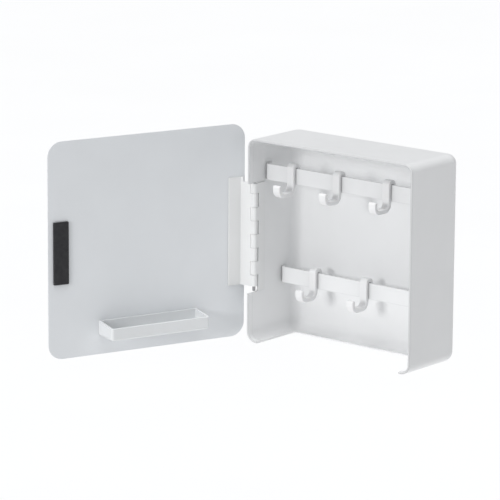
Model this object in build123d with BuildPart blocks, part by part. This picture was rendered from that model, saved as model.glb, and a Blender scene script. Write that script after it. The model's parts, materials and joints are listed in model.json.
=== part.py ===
from build123d import *

import math
import os

# Magnetic key cabinet: a pressed steel case, a door on a piano hinge, two rails and five hooks.
# The origin is the centre of the rear mounting plane. +X is to the right seen from the front,
# +Y points at the surface that the cabinet hangs on, and +Z is up. The door stands open.
# Lengths are in millimetres. Heights are measured from the case's bottom, depths back from its
# front plane, and places across from its left side, unless a comment says otherwise.

os.makedirs("parts", exist_ok=True)

# Case
CASE_WIDTH = 197.0
CASE_HEIGHT = 200.0
CASE_DEPTH = 75.0
SHEET = 1.2
HEM_DEPTH = 6.0
HEM_THICKNESS = 2.2
HEM_FOLD_RADIUS = 1.0
BACK_RADIUS = 11.0
TOP_RADIUS = 9.0
BOTTOM_RADIUS = 10.5
SIDE_LIP = 12.5
REAR_LIP = 17.0
LIP_CORNER_RADIUS = 4.0

# Rear magnets
REAR_MAGNET_WIDTH = 150.0
REAR_MAGNET_HEIGHT = 34.0
REAR_MAGNET_THICKNESS = 2.5
REAR_MAGNET_SPACING = 62.0

# Door
DOOR_WIDTH = 211.0
DOOR_HEIGHT = 209.0
DOOR_THICKNESS = 1.2
DOOR_CORNER_RADIUS = 14.5
DOOR_BOTTOM = 2.0
DOOR_GAP = 2.3
DOOR_OPEN_ANGLE = 110.5
DOOR_EDGE_FROM_AXIS = 3.2
DOOR_EDGE_RADIUS = 0.5

# Door magnet
DOOR_MAGNET_WIDTH = 15.5
DOOR_MAGNET_HEIGHT = 60.0
DOOR_MAGNET_THICKNESS = 2.0
DOOR_MAGNET_FROM_EDGE = 5.2
DOOR_MAGNET_BOTTOM = 74.5

# Hinge
PIN_RADIUS = 1.5
PIN_CLEARANCE = 0.05
LEAF = 1.2
HINGE_AXIS_DEPTH = 11.4
KNUCKLE_PITCH = 13.35
KNUCKLE_GAP = 0.3
BARREL_BOTTOM = 53.0
BARREL_TOP = 154.6
FIRST_JOINT = 64.3
WALL_LEAF_BOTTOM = 48.2
WALL_LEAF_REACH = 24.0
DOOR_LEAF_TOP = 159.2
DOOR_WEB_TOP = 154.8
WEB_CLEARANCE = 0.8
FLANGE_START = 4.0
FLANGE_WIDTH = 13.5
LEAF_BEND_RADIUS = 1.8
PIN_BOTTOM = 48.4
PIN_TOP = 154.8

# Notch for the hinge in the left wall
NOTCH_BOTTOM = 47.6
NOTCH_TOP = 155.4
NOTCH_DEPTH = 15.6
NOTCH_RADIUS = 2.5

# Rails
RAIL_HEIGHT = 15.5
RAIL_THICKNESS = 1.6
RAIL_FLANGE = 7.5
RAIL_BEND_RADIUS = 3.2
RAILS = {
    "upper": {"bottom": 156.5, "depth": 24.7, "hooks": {"left": 36.0, "middle": 91.5, "right": 150.7}},
    "lower": {"bottom": 51.0, "depth": 49.4, "hooks": {"left": 44.5, "right": 106.6}},
}

# Hooks
HOOK_WIDTH = 8.2
HOOK_THICKNESS = 4.2
HOOK_CLEARANCE = 0.3
HOOK_REAR_LIP = 7.0
HOOK_REACH = 20.8
HOOK_DROP = 8.4
HOOK_TOP_RADIUS = 2.3
HOOK_BEND_RADIUS = 6.0
HOOK_EDGE_RADIUS = 0.9

# Tray
TRAY_LENGTH = 105.0
TRAY_DEPTH = 27.0
TRAY_HEIGHT = 15.0
TRAY_FRONT_HEIGHT = 12.2
TRAY_WALL = 1.6
TRAY_CORNER_RADIUS = 2.6
TRAY_BOTTOM_RADIUS = 3.2
TRAY_BOTTOM = 19.7
TRAY_FROM_EDGE = 53.0

# Places in the row frame
LEFT = -CASE_WIDTH / 2
BOTTOM = -CASE_HEIGHT / 2
FRONT = -(CASE_DEPTH + REAR_MAGNET_THICKNESS)
BACK = -REAR_MAGNET_THICKNESS

BARREL_RADIUS = PIN_RADIUS + PIN_CLEARANCE + LEAF
ROLL_RADIUS = BARREL_RADIUS - LEAF / 2
HINGE_X = LEFT + SHEET + LEAF - BARREL_RADIUS
HINGE_Y = FRONT + HINGE_AXIS_DEPTH
DOOR_FACE = HINGE_AXIS_DEPTH + DOOR_GAP

# The door's own planes: the hinge axis seen from above, and the door's inner face
swing = math.radians(DOOR_OPEN_ANGLE)
along_door = Vector(math.cos(swing), -math.sin(swing), 0)
door_plan = Plane(origin=(HINGE_X, HINGE_Y, 0), x_dir=along_door, z_dir=(0, 0, 1))
door_face = Plane(
    origin=door_plan.from_local_coords((0, -DOOR_FACE, 0)),
    x_dir=along_door,
    z_dir=-door_plan.y_dir,
)
outward = Axis((0, 0, 0), tuple(door_face.z_dir))
inward = Axis((0, 0, 0), tuple(door_plan.y_dir))


def save(builder, name):
    """Labels a finished piece and writes its STEP file."""
    builder.part.label = name
    export_step(builder.part, f"parts/{name}.step")


def rims(part, end):
    """Side and rear edges of the block's top (end -1) or bottom (end 0) face."""
    return part.faces().sort_by(Axis.Z)[end].edges().sort_by(Axis.Y)[1:]


def case_block(inset, front):
    """The case's outside as a solid block, made smaller all round by inset and cut off at front."""
    back = BACK - inset
    with BuildPart() as block:
        with BuildSketch(Plane.XY.offset(BOTTOM + inset)):
            with Locations((0, (front + back) / 2)):
                Rectangle(CASE_WIDTH - 2 * inset, back - front)
        extrude(amount=CASE_HEIGHT - 2 * inset)
        fillet(block.edges().filter_by(Axis.Z).group_by(Axis.Y)[-1], BACK_RADIUS - inset)
        fillet(rims(block, -1), TOP_RADIUS - inset)
        fillet(rims(block, 0), BOTTOM_RADIUS - inset)
    return block.part


def make_case_shell():
    """Case with an open front, a bottom cut out to a lip, a hemmed mouth and the hinge notch."""
    outside = case_block(0, FRONT)
    inside = case_block(SHEET, FRONT + HEM_DEPTH)
    with BuildPart() as mouth:
        with BuildSketch(Plane.XZ.offset(-FRONT - HEM_DEPTH)) as opening:
            Rectangle(CASE_WIDTH - 2 * HEM_THICKNESS, CASE_HEIGHT - 2 * HEM_THICKNESS)
            fillet(opening.vertices().group_by(Axis.Y)[-1], TOP_RADIUS - HEM_THICKNESS)
            fillet(opening.vertices().group_by(Axis.Y)[0], BOTTOM_RADIUS - HEM_THICKNESS)
        extrude(amount=HEM_DEPTH)
    with BuildPart() as shell:
        add(outside)
        add(inside, mode=Mode.SUBTRACT)
        add(mouth.part, mode=Mode.SUBTRACT)
        fillet(shell.faces().sort_by(Axis.Y)[0].edges(), HEM_FOLD_RADIUS)
        with BuildSketch(Plane.XY.offset(BOTTOM)) as cutout:
            with Locations((0, (FRONT + BACK - REAR_LIP) / 2)):
                Rectangle(CASE_WIDTH - 2 * SIDE_LIP, CASE_DEPTH - REAR_LIP)
            fillet(cutout.vertices().group_by(Axis.Y)[-1], LIP_CORNER_RADIUS)
        extrude(amount=HEM_THICKNESS, mode=Mode.SUBTRACT)
        with BuildSketch(Plane.YZ.offset(LEFT)) as notch:
            with Locations((FRONT + NOTCH_DEPTH / 2, BOTTOM + (NOTCH_BOTTOM + NOTCH_TOP) / 2)):
                Rectangle(NOTCH_DEPTH, NOTCH_TOP - NOTCH_BOTTOM)
            fillet(notch.vertices().group_by(Axis.X)[-1], NOTCH_RADIUS)
        extrude(amount=HEM_THICKNESS, mode=Mode.SUBTRACT)
    return shell


def make_rear_magnet(height):
    """One rubber magnet strip on the back of the case."""
    with BuildPart() as strip:
        with BuildSketch(Plane.XZ):
            with Locations((0, height)):
                RectangleRounded(REAR_MAGNET_WIDTH, REAR_MAGNET_HEIGHT, 3)
        extrude(amount=REAR_MAGNET_THICKNESS)
    return strip


def make_rail(bottom, depth):
    """Flat rail with both ends bent back into flanges that sit on the side walls."""
    end = CASE_WIDTH / 2 - SHEET - RAIL_THICKNESS / 2
    face = FRONT + depth + RAIL_THICKNESS / 2
    flange_end = face + RAIL_FLANGE
    with BuildPart() as rail:
        with BuildSketch(Plane.XY.offset(BOTTOM + bottom)):
            with BuildLine():
                FilletPolyline(
                    (-end, flange_end),
                    (-end, face),
                    (end, face),
                    (end, flange_end),
                    radius=RAIL_BEND_RADIUS,
                )
                offset(amount=RAIL_THICKNESS / 2, side=Side.BOTH)
            make_face()
        extrude(amount=RAIL_HEIGHT)
    return rail


def make_hook(rail_bottom, rail_depth, across):
    """Hook that straddles the rail: rear lip, bridge, front strap and a tip level with its bottom."""
    half = HOOK_THICKNESS / 2
    strap = FRONT + rail_depth - HOOK_CLEARANCE - half
    rear = FRONT + rail_depth + RAIL_THICKNESS + HOOK_CLEARANCE + half
    rail_top = BOTTOM + rail_bottom + RAIL_HEIGHT
    bridge = rail_top + HOOK_CLEARANCE + half
    lowest = BOTTOM + rail_bottom - HOOK_DROP
    tip = BOTTOM + rail_bottom
    nose = strap - HOOK_REACH
    with BuildPart() as hook:
        with BuildSketch(Plane.YZ.offset(LEFT + across)):
            with BuildLine():
                FilletPolyline(
                    (rear, rail_top - HOOK_REAR_LIP),
                    (rear, bridge),
                    (strap, bridge),
                    (strap, lowest),
                    (nose, lowest),
                    (nose, tip),
                    radius=[HOOK_TOP_RADIUS, HOOK_TOP_RADIUS, HOOK_BEND_RADIUS, HOOK_BEND_RADIUS],
                )
                offset(amount=half, side=Side.BOTH)
            make_face()
        extrude(amount=HOOK_WIDTH / 2, both=True)
        tip_centre = Vector(LEFT + across, nose, tip)
        tip_edges = hook.edges().filter_by(Axis.X).sort_by_distance(tip_centre)[:2]
        fillet(hook.faces().filter_by(Axis.X).edges() + tip_edges, HOOK_EDGE_RADIUS)
    return hook


def knuckle_ranges():
    """Heights of the hinge's knuckles from the bottom up, as (low, high) pairs with a gap between."""
    joints = [BARREL_BOTTOM, FIRST_JOINT]
    while joints[-1] + KNUCKLE_PITCH < BARREL_TOP - KNUCKLE_PITCH / 4:
        joints.append(joints[-1] + KNUCKLE_PITCH)
    joints.append(BARREL_TOP)
    gap = KNUCKLE_GAP / 2
    return [(low + gap, high - gap) for low, high in zip(joints, joints[1:])]


def make_wall_leaf():
    """Leaf on the inside of the left wall, with the second knuckle and every other one above."""
    leaf_middle = ROLL_RADIUS
    plate_start = BARREL_RADIUS + 2 * KNUCKLE_GAP
    plate_end = WALL_LEAF_REACH - HINGE_AXIS_DEPTH
    wall_plan = Plane(origin=(HINGE_X, HINGE_Y, BOTTOM))
    with BuildPart() as leaf:
        with BuildSketch(wall_plan.offset(WALL_LEAF_BOTTOM)):
            with Locations((leaf_middle, (plate_start + plate_end) / 2)):
                Rectangle(LEAF, plate_end - plate_start)
        extrude(amount=BARREL_TOP - WALL_LEAF_BOTTOM)
        for low, high in knuckle_ranges()[1::2]:
            with BuildSketch(wall_plan.offset(low)):
                Circle(BARREL_RADIUS)
                with Locations((leaf_middle, plate_start / 2)):
                    Rectangle(LEAF, plate_start)
                Circle(PIN_RADIUS, mode=Mode.SUBTRACT)
            extrude(amount=high - low)
    return leaf


def make_door_leaf():
    """Leaf from the lowest knuckle and every other one to a flange on the door's inner face.

    Its web stops below the top of the notch, so that it passes into the case as the door shuts.
    """
    flange_middle = -DOOR_FACE + LEAF / 2
    bend = Vector(DOOR_EDGE_FROM_AXIS + FLANGE_START, flange_middle)
    reach = bend.length
    tangent = math.atan2(bend.Y, bend.X) + math.acos(ROLL_RADIUS / reach)
    start = Vector(ROLL_RADIUS * math.cos(tangent), ROLL_RADIUS * math.sin(tangent))
    clear = BARREL_RADIUS + 2 * KNUCKLE_GAP
    plan = Plane(origin=door_plan.origin + Vector(0, 0, BOTTOM), x_dir=along_door, z_dir=(0, 0, 1))
    web = (bend - start).normalized()
    web_start = start + web * clear
    flange_end = bend + Vector(FLANGE_WIDTH, 0)
    with BuildPart() as leaf:
        with BuildSketch(plan.offset(BARREL_BOTTOM)):
            with BuildLine():
                FilletPolyline(web_start, bend, flange_end, radius=LEAF_BEND_RADIUS)
                offset(amount=LEAF / 2, side=Side.BOTH)
            make_face()
        extrude(amount=DOOR_LEAF_TOP - BARREL_BOTTOM)
        with BuildSketch(plan.offset(DOOR_WEB_TOP)):
            Circle(HINGE_AXIS_DEPTH + WEB_CLEARANCE)
        extrude(amount=DOOR_LEAF_TOP - DOOR_WEB_TOP, mode=Mode.SUBTRACT)
        for low, high in knuckle_ranges()[0::2]:
            with BuildSketch(plan.offset(low)):
                Circle(BARREL_RADIUS)
                with BuildLine():
                    Line(start, web_start)
                    offset(amount=LEAF / 2, side=Side.BOTH)
                make_face()
                Circle(PIN_RADIUS + PIN_CLEARANCE, mode=Mode.SUBTRACT)
            extrude(amount=high - low)
    return leaf


def make_hinge_pin():
    """Straight steel pin through every knuckle."""
    with BuildPart() as pin:
        with BuildSketch(Plane(origin=(HINGE_X, HINGE_Y, BOTTOM + PIN_BOTTOM))):
            Circle(PIN_RADIUS)
        extrude(amount=PIN_TOP - PIN_BOTTOM)
        chamfer(pin.edges(), 0.3)
    return pin


def make_door_panel():
    """Flat sheet door with rounded corners."""
    with BuildPart() as panel:
        with BuildSketch(door_face):
            with Locations((DOOR_EDGE_FROM_AXIS + DOOR_WIDTH / 2, BOTTOM + DOOR_BOTTOM + DOOR_HEIGHT / 2)):
                RectangleRounded(DOOR_WIDTH, DOOR_HEIGHT, DOOR_CORNER_RADIUS)
        extrude(amount=DOOR_THICKNESS)
        fillet(panel.faces().sort_by(outward).last.edges(), DOOR_EDGE_RADIUS)
    return panel


def make_door_magnet():
    """Black magnet strip that holds the door shut on the right wall's front edge."""
    across = DOOR_EDGE_FROM_AXIS + DOOR_WIDTH - DOOR_MAGNET_FROM_EDGE - DOOR_MAGNET_WIDTH / 2
    up = BOTTOM + DOOR_MAGNET_BOTTOM + DOOR_MAGNET_HEIGHT / 2
    with BuildPart() as strip:
        with BuildSketch(door_face):
            with Locations((across, up)):
                RectangleRounded(DOOR_MAGNET_WIDTH, DOOR_MAGNET_HEIGHT, 0.8)
        extrude(amount=-DOOR_MAGNET_THICKNESS)
    return strip


def make_tray():
    """Open tray on the door's inner face, with ends that slope down to a lower front."""
    plan = Plane(
        origin=door_face.from_local_coords((DOOR_EDGE_FROM_AXIS + TRAY_FROM_EDGE, BOTTOM + TRAY_BOTTOM, 0)),
        x_dir=along_door,
        z_dir=(0, 0, 1),
    )
    side = Plane(origin=plan.origin, x_dir=door_plan.y_dir, z_dir=along_door)
    with BuildPart() as tray:
        with BuildSketch(plan):
            Rectangle(TRAY_LENGTH, TRAY_DEPTH, align=(Align.MIN, Align.MIN))
        extrude(amount=TRAY_HEIGHT)
        fillet(tray.edges().filter_by(Axis.Z).sort_by(inward)[-2:], TRAY_CORNER_RADIUS)
        floor = tray.faces().sort_by(Axis.Z)[0]
        fillet(floor.edges().sort_by(inward)[1:], TRAY_BOTTOM_RADIUS)
        offset(amount=-TRAY_WALL, openings=tray.faces().sort_by(Axis.Z)[-1])
        with BuildSketch(side):
            with BuildLine():
                Polyline(
                    (TRAY_WALL, TRAY_HEIGHT),
                    (TRAY_DEPTH, TRAY_FRONT_HEIGHT),
                    (TRAY_DEPTH, TRAY_HEIGHT),
                    close=True,
                )
            make_face()
        extrude(amount=TRAY_LENGTH, mode=Mode.SUBTRACT)
    return tray


save(make_case_shell(), "case_shell")
for place, step in {"bottom": -1, "middle": 0, "top": 1}.items():
    save(make_rear_magnet(step * REAR_MAGNET_SPACING), f"rear_magnet_{place}")
for level, rail in RAILS.items():
    save(make_rail(rail["bottom"], rail["depth"]), f"{level}_rail")
    for place, across in rail["hooks"].items():
        save(make_hook(rail["bottom"], rail["depth"], across), f"{level}_hook_{place}")
save(make_wall_leaf(), "hinge_wall_leaf")
save(make_door_leaf(), "hinge_door_leaf")
save(make_hinge_pin(), "hinge_pin")
save(make_door_panel(), "door_panel")
save(make_door_magnet(), "door_magnet")
save(make_tray(), "key_tray")
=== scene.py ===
import json
import math

import bpy
from mathutils import Euler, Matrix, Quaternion, Vector


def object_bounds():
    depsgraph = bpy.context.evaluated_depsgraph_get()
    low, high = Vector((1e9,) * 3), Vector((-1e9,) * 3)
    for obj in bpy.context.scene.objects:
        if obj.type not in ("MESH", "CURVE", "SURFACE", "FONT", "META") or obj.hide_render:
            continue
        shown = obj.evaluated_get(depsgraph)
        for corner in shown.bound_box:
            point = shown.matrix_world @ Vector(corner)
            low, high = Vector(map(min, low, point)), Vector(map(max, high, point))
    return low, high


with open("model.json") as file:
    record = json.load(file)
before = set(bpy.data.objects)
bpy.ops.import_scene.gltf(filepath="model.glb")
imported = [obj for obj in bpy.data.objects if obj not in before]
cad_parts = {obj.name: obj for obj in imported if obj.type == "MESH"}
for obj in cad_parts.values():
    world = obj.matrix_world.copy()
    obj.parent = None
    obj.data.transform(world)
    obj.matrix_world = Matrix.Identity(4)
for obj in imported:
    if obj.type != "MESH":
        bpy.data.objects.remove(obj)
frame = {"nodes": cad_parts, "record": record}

cad_low, cad_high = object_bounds()

# Camera: metres and degrees, in the frame's own axes
CAMERA_PLACE = (1.9947, -2.5941, 0.7428)
CAMERA_TURN = 39.70
CAMERA_DIP = 12.94
CAMERA_ROLL = 0.385
CAMERA_LENS_MM = 252.0

# Floor: its drop below the hanging cabinet and half its side, in metres, and its two tones
FLOOR_DROP = 0.55
FLOOR_HALF = 30.0
FLOOR_DARK = (0.93, 0.93, 0.93)
FLOOR_PALE = (0.94, 0.94, 0.94)

# Lights: angles in degrees, azimuth 0 in front and 90 from the right; spread is the sun's width
TOP_SUN = {"azimuth": 0, "elevation": 78, "strength": 2.50, "spread": 50}
FRONT_SUN = {"azimuth": -1, "elevation": 13, "strength": 1.06, "spread": 14}
FILL_COLOUR = (0.94, 0.965, 1.0)
FILL_STRENGTH = 0.24

# Colours, linear
CASE_WHITE = (0.825, 0.83, 0.835)
# Painted shade on the case's edges and its folded front rim
CASE_EDGE_SHADE = (0.60, 0.605, 0.61)
# The door has the case's paint: its darker, bluer colour is painted shade, and its edge colour is
# painted shade too
DOOR_WHITE_SHADED = (0.76, 0.78, 0.80)
DOOR_EDGE_SHADE = (0.74, 0.76, 0.78)
HINGE_WHITE = (0.80, 0.805, 0.805)
# Painted shade on the hinge's edges
HINGE_EDGE_SHADE = (0.76, 0.765, 0.77)
HOOK_WHITE = (0.82, 0.82, 0.825)
TRAY_WHITE = (0.75, 0.765, 0.775)
RUBBER_BLACK = (0.011, 0.011, 0.013)
RUBBER_DUST = (0.022, 0.022, 0.025)
RUBBER_RUBBED = (0.050, 0.050, 0.053)
STEEL_DARK = (0.20, 0.20, 0.21)
STEEL_BRIGHT = (0.46, 0.46, 0.47)

# Rounding of the sheet metal's cut edges and of moulded plastic edges, in metres
SHEET_ROUND = 0.00022
PLASTIC_ROUND = 0.00012
ROUND_SEGMENTS = 2
ROUND_FROM_DEGREES = 40

# Most of a noise texture's values lie between these
NOISE_LOW = 0.3
NOISE_HIGH = 0.7

# Cosines of the turn that an edge's rounded normal makes, where the edge mask starts and is full
EDGE_START = 0.99
EDGE_FULL = 0.80

# Openness of the surface where the painted corner shade starts and is full
SHADE_CORNER_START = 0.95
SHADE_CORNER_FULL = 0.35

# The folded front edge: the depth that is fully painted shade, and the fade behind it, in metres
FOLD_DEPTH = 0.0006
FOLD_FADE = 0.0009


def add_camera():
    """The camera at the photograph's viewing angle."""
    data = bpy.data.cameras.new("camera")
    data.lens = CAMERA_LENS_MM
    camera = bpy.data.objects.new("camera", data)
    camera.location = CAMERA_PLACE
    aim = Euler((math.radians(90 - CAMERA_DIP), 0, math.radians(CAMERA_TURN))).to_quaternion()
    camera.rotation_mode = "QUATERNION"
    camera.rotation_quaternion = aim @ Quaternion((0, 0, 1), math.radians(CAMERA_ROLL))
    bpy.context.scene.collection.objects.link(camera)
    bpy.context.scene.camera = camera


class Nodes:
    """Short calls for building one material's node tree."""

    def __init__(self, name):
        self.material = bpy.data.materials.new(name)
        self.material.use_nodes = True
        self.tree = self.material.node_tree
        self.shader = self.tree.nodes["Principled BSDF"]
        self.place = self.add("ShaderNodeTexCoord").outputs["Object"]

    def add(self, kind):
        return self.tree.nodes.new(kind)

    def link(self, source, target):
        self.tree.links.new(source, target)

    def put(self, socket, value):
        """Sets one of the shader's sockets."""
        self.shader.inputs[socket].default_value = value

    def roughness(self, source, low, high):
        """Roughness that follows a noise from low to high."""
        self.link(self.spread(source, low, high), self.shader.inputs["Roughness"])

    def noise(self, size, detail=2.0, rough=0.5):
        """Noise with features of about that size in metres."""
        node = self.add("ShaderNodeTexNoise")
        node.inputs["Scale"].default_value = 1.0 / size
        node.inputs["Detail"].default_value = detail
        node.inputs["Roughness"].default_value = rough
        self.link(self.place, node.inputs["Vector"])
        return node.outputs["Fac"]

    def remap(self, source, start, end, low=0.0, high=1.0):
        """The source, from start to end, made to run from low to high, and held beyond them."""
        node = self.add("ShaderNodeMapRange")
        node.inputs["From Min"].default_value = start
        node.inputs["From Max"].default_value = end
        node.inputs["To Min"].default_value = low
        node.inputs["To Max"].default_value = high
        self.link(source, node.inputs["Value"])
        return node.outputs["Result"]

    def spread(self, source, low=0.0, high=1.0):
        """The noise's middle range stretched to run from low to high."""
        return self.remap(source, NOISE_LOW, NOISE_HIGH, low, high)

    def blend(self, factor, first, second):
        """A colour between two, each of them a colour or a socket."""
        node = self.add("ShaderNodeMix")
        node.data_type = "RGBA"
        self.link(factor, node.inputs["Factor"])
        for socket, value in ((node.inputs[6], first), (node.inputs[7], second)):
            if isinstance(value, tuple):
                socket.default_value = (*value, 1.0)
            else:
                self.link(value, socket)
        return node.outputs[2]

    def bump(self, height, strength, distance, under=None):
        """Relief of that depth in metres, laid over another bump if one is given."""
        node = self.add("ShaderNodeBump")
        node.inputs["Strength"].default_value = strength
        node.inputs["Distance"].default_value = distance
        self.link(height, node.inputs["Height"])
        if under is not None:
            self.link(under, node.inputs["Normal"])
        return node.outputs["Normal"]

    def edges(self, radius):
        """1 near edges, within about the radius in metres, and 0 on flat surface."""
        bevel = self.add("ShaderNodeBevel")
        bevel.samples = 4
        bevel.inputs["Radius"].default_value = radius
        flat = self.add("ShaderNodeNewGeometry").outputs["Normal"]
        dot = self.add("ShaderNodeVectorMath")
        dot.operation = "DOT_PRODUCT"
        self.link(bevel.outputs["Normal"], dot.inputs[0])
        self.link(flat, dot.inputs[1])
        return self.remap(dot.outputs["Value"], EDGE_START, EDGE_FULL)

    def corners(self, distance):
        """Painted shade mask: 1 deep in inside corners within that distance in metres, and 0 on open
        surface.
        """
        node = self.add("ShaderNodeAmbientOcclusion")
        node.samples = 8
        node.inputs["Distance"].default_value = distance
        return self.remap(node.outputs["AO"], SHADE_CORNER_START, SHADE_CORNER_FULL)

    def ahead_of(self, place, fade):
        """1 in front of that place along Y, and 0 once the fade in metres behind it is over."""
        split = self.add("ShaderNodeSeparateXYZ")
        self.link(self.place, split.inputs["Vector"])
        return self.remap(split.outputs["Y"], place + fade, place)


def shaded(colour, factor):
    """The colour times the factor, kept at most white."""
    return tuple(min(1.0, c * factor) for c in colour)


def powder_coat(name, colour, edge_shade, fold=None, peel=0.0011, depth=0.00003):
    """Powder coat: orange peel, fine grain, cloudy film, painted shade in inside corners and painted
    shade on edges.

    The folded front rim gets the same painted shade too, if the edge's place along Y is given.
    """
    n = Nodes(name)
    cloud = n.spread(n.noise(size=0.035, detail=3.0))
    body = n.blend(cloud, shaded(colour, 0.978), colour)
    # Painted shade: inside corners darkened where they get less light
    body = n.blend(n.corners(distance=0.014), body, shaded(colour, 0.84))
    # Painted shade on edges, so that they do not catch light
    body = n.blend(n.edges(radius=0.0008), body, edge_shade)
    # Painted shade on the folded front rim
    if fold is not None:
        body = n.blend(n.ahead_of(fold + FOLD_DEPTH, FOLD_FADE), body, edge_shade)
    n.link(body, n.shader.inputs["Base Color"])
    n.roughness(n.noise(size=0.006, detail=4.0), low=0.36, high=0.46)
    grain = n.bump(n.noise(size=0.00035), strength=0.20, distance=depth * 0.35)
    skin = n.bump(n.noise(size=peel, rough=0.4), strength=0.45, distance=depth, under=grain)
    n.link(skin, n.shader.inputs["Normal"])
    n.put("Specular IOR Level", 0.42)
    n.put("Coat Weight", 0.10)
    n.put("Coat Roughness", 0.22)
    return n.material


def moulded_plastic(name, colour, gloss, shade):
    """Injection moulded plastic: fine grain, slow sink waves, pale rims, and painted shade that darkens
    corners by the factor shade.
    """
    n = Nodes(name)
    flow = n.spread(n.noise(size=0.018, detail=3.0))
    body = n.blend(flow, shaded(colour, 0.982), colour)
    # Painted shade: inside corners darkened where they get less light
    body = n.blend(n.corners(distance=0.008), body, shaded(colour, shade))
    body = n.blend(n.edges(radius=0.0005), body, shaded(colour, 1.02))
    n.link(body, n.shader.inputs["Base Color"])
    n.roughness(n.noise(size=0.003, detail=3.0), *gloss)
    grain = n.bump(n.noise(size=0.00022), strength=0.25, distance=0.00001)
    skin = n.bump(n.noise(size=0.009, detail=1.0), strength=0.30, distance=0.00004, under=grain)
    n.link(skin, n.shader.inputs["Normal"])
    n.put("Subsurface Weight", 0.06)
    n.put("Subsurface Radius", (0.002, 0.0018, 0.0016))
    n.put("Subsurface Scale", 1.0)
    return n.material


def magnet_rubber(name):
    """Bonded ferrite sheet: near-black, dusty grain, faint extrusion lines and paler rubbed edges."""
    n = Nodes(name)
    dust = n.spread(n.noise(size=0.0006, detail=5.0, rough=0.65))
    body = n.blend(dust, RUBBER_BLACK, RUBBER_DUST)
    body = n.blend(n.edges(radius=0.0007), body, RUBBER_RUBBED)
    n.link(body, n.shader.inputs["Base Color"])
    n.roughness(n.noise(size=0.004, detail=4.0), low=0.58, high=0.80)
    lines = n.add("ShaderNodeTexWave")
    lines.bands_direction = "Z"
    lines.inputs["Scale"].default_value = 900.0
    lines.inputs["Distortion"].default_value = 1.5
    lines.inputs["Detail"].default_value = 2.0
    n.link(n.place, lines.inputs["Vector"])
    ribs = n.bump(lines.outputs["Fac"], strength=0.15, distance=0.00002)
    skin = n.bump(dust, strength=0.35, distance=0.00003, under=ribs)
    n.link(skin, n.shader.inputs["Normal"])
    return n.material


def pin_steel(name):
    """Plain steel wire: fine grain and patchy oxide."""
    n = Nodes(name)
    tarnish = n.spread(n.noise(size=0.0025, detail=4.0, rough=0.6))
    n.link(n.blend(tarnish, STEEL_DARK, STEEL_BRIGHT), n.shader.inputs["Base Color"])
    n.roughness(n.noise(size=0.0012, detail=4.0), low=0.26, high=0.50)
    skin = n.bump(n.noise(size=0.0003, detail=3.0), strength=0.3, distance=0.00001)
    n.link(skin, n.shader.inputs["Normal"])
    n.put("Metallic", 1.0)
    return n.material


def finish_node(name, material, rounding):
    """Gives a CAD node its material and rounds its sharp edges a little."""
    piece = frame["nodes"][name]
    piece.data.materials.clear()
    piece.data.materials.append(material)
    if rounding:
        bevel = piece.modifiers.new("edge_rounding", "BEVEL")
        bevel.width = rounding
        bevel.segments = ROUND_SEGMENTS
        bevel.limit_method = "ANGLE"
        bevel.angle_limit = math.radians(ROUND_FROM_DEGREES)
        bevel.harden_normals = True


def add_sun(name, azimuth, elevation, strength, spread):
    """Soft sun that shines from that azimuth (0 in front, 90 from the right) and elevation."""
    data = bpy.data.lights.new(name, "SUN")
    data.energy = strength
    data.angle = math.radians(spread)
    sun = bpy.data.objects.new(name, data)
    a, e = math.radians(azimuth), math.radians(elevation)
    towards = Vector((math.sin(a) * math.cos(e), -math.cos(a) * math.cos(e), math.sin(e)))
    sun.rotation_mode = "QUATERNION"
    sun.rotation_quaternion = towards.to_track_quat("Z", "Y")
    bpy.context.scene.collection.objects.link(sun)


def add_world():
    """Even studio light from all round."""
    world = bpy.data.worlds.new("studio")
    world.use_nodes = True
    background = world.node_tree.nodes["Background"]
    background.inputs["Color"].default_value = (*FILL_COLOUR, 1.0)
    background.inputs["Strength"].default_value = FILL_STRENGTH
    bpy.context.scene.world = world


def add_floor():
    """Plain pale floor, well under the cabinet, which hangs."""
    level = cad_low.z - FLOOR_DROP
    mesh = bpy.data.meshes.new("floor")
    h = FLOOR_HALF
    corners = [(-h, -h, level), (h, -h, level), (h, h, level), (-h, h, level)]
    mesh.from_pydata(corners, [], [(0, 1, 2, 3)])
    floor = bpy.data.objects.new("floor", mesh)
    bpy.context.scene.collection.objects.link(floor)
    n = Nodes("floor_paper")
    tone = n.spread(n.noise(size=0.4))
    n.link(n.blend(tone, FLOOR_DARK, FLOOR_PALE), n.shader.inputs["Base Color"])
    n.put("Roughness", 0.9)
    floor.data.materials.append(n.material)


bpy.context.scene.view_settings.view_transform = "Standard"
add_camera()

mouth = min(corner[1] for corner in frame["nodes"]["case_shell"].bound_box)
coat = powder_coat("case_powder_coat", CASE_WHITE, CASE_EDGE_SHADE, mouth)
# Painted shade: the door's coat is a darker copy of the case's paint
door_shaded_coat = powder_coat("door_powder_coat_shaded", DOOR_WHITE_SHADED, DOOR_EDGE_SHADE)
hinge_coat = powder_coat("hinge_paint", HINGE_WHITE, HINGE_EDGE_SHADE, peel=0.0008, depth=0.00002)
# Painted shade in corners: the hooks' sides by the rail darkened strongly, the tray's corners barely
hook_plastic = moulded_plastic("hook_plastic", HOOK_WHITE, gloss=(0.36, 0.46), shade=0.55)
tray_plastic = moulded_plastic("tray_plastic", TRAY_WHITE, gloss=(0.40, 0.52), shade=0.97)
rubber = magnet_rubber("magnet_rubber")
steel = pin_steel("pin_steel")

FINISHES = {
    "case_paint": (coat, SHEET_ROUND),
    "door_paint": (door_shaded_coat, SHEET_ROUND),
    "rail_paint": (coat, SHEET_ROUND),
    "hinge_paint": (hinge_coat, 0.0),
    "hook_plastic": (hook_plastic, 0.0),
    "tray_plastic": (tray_plastic, PLASTIC_ROUND),
    "magnet_rubber": (rubber, SHEET_ROUND),
    "pin_steel": (steel, 0.0),
}
for part in frame["record"]["subparts"]:
    finish_node(part["node"], *FINISHES[part["material_slot"]])

add_world()
add_sun("top_sun", **TOP_SUN)
add_sun("front_sun", **FRONT_SUN)
add_floor()
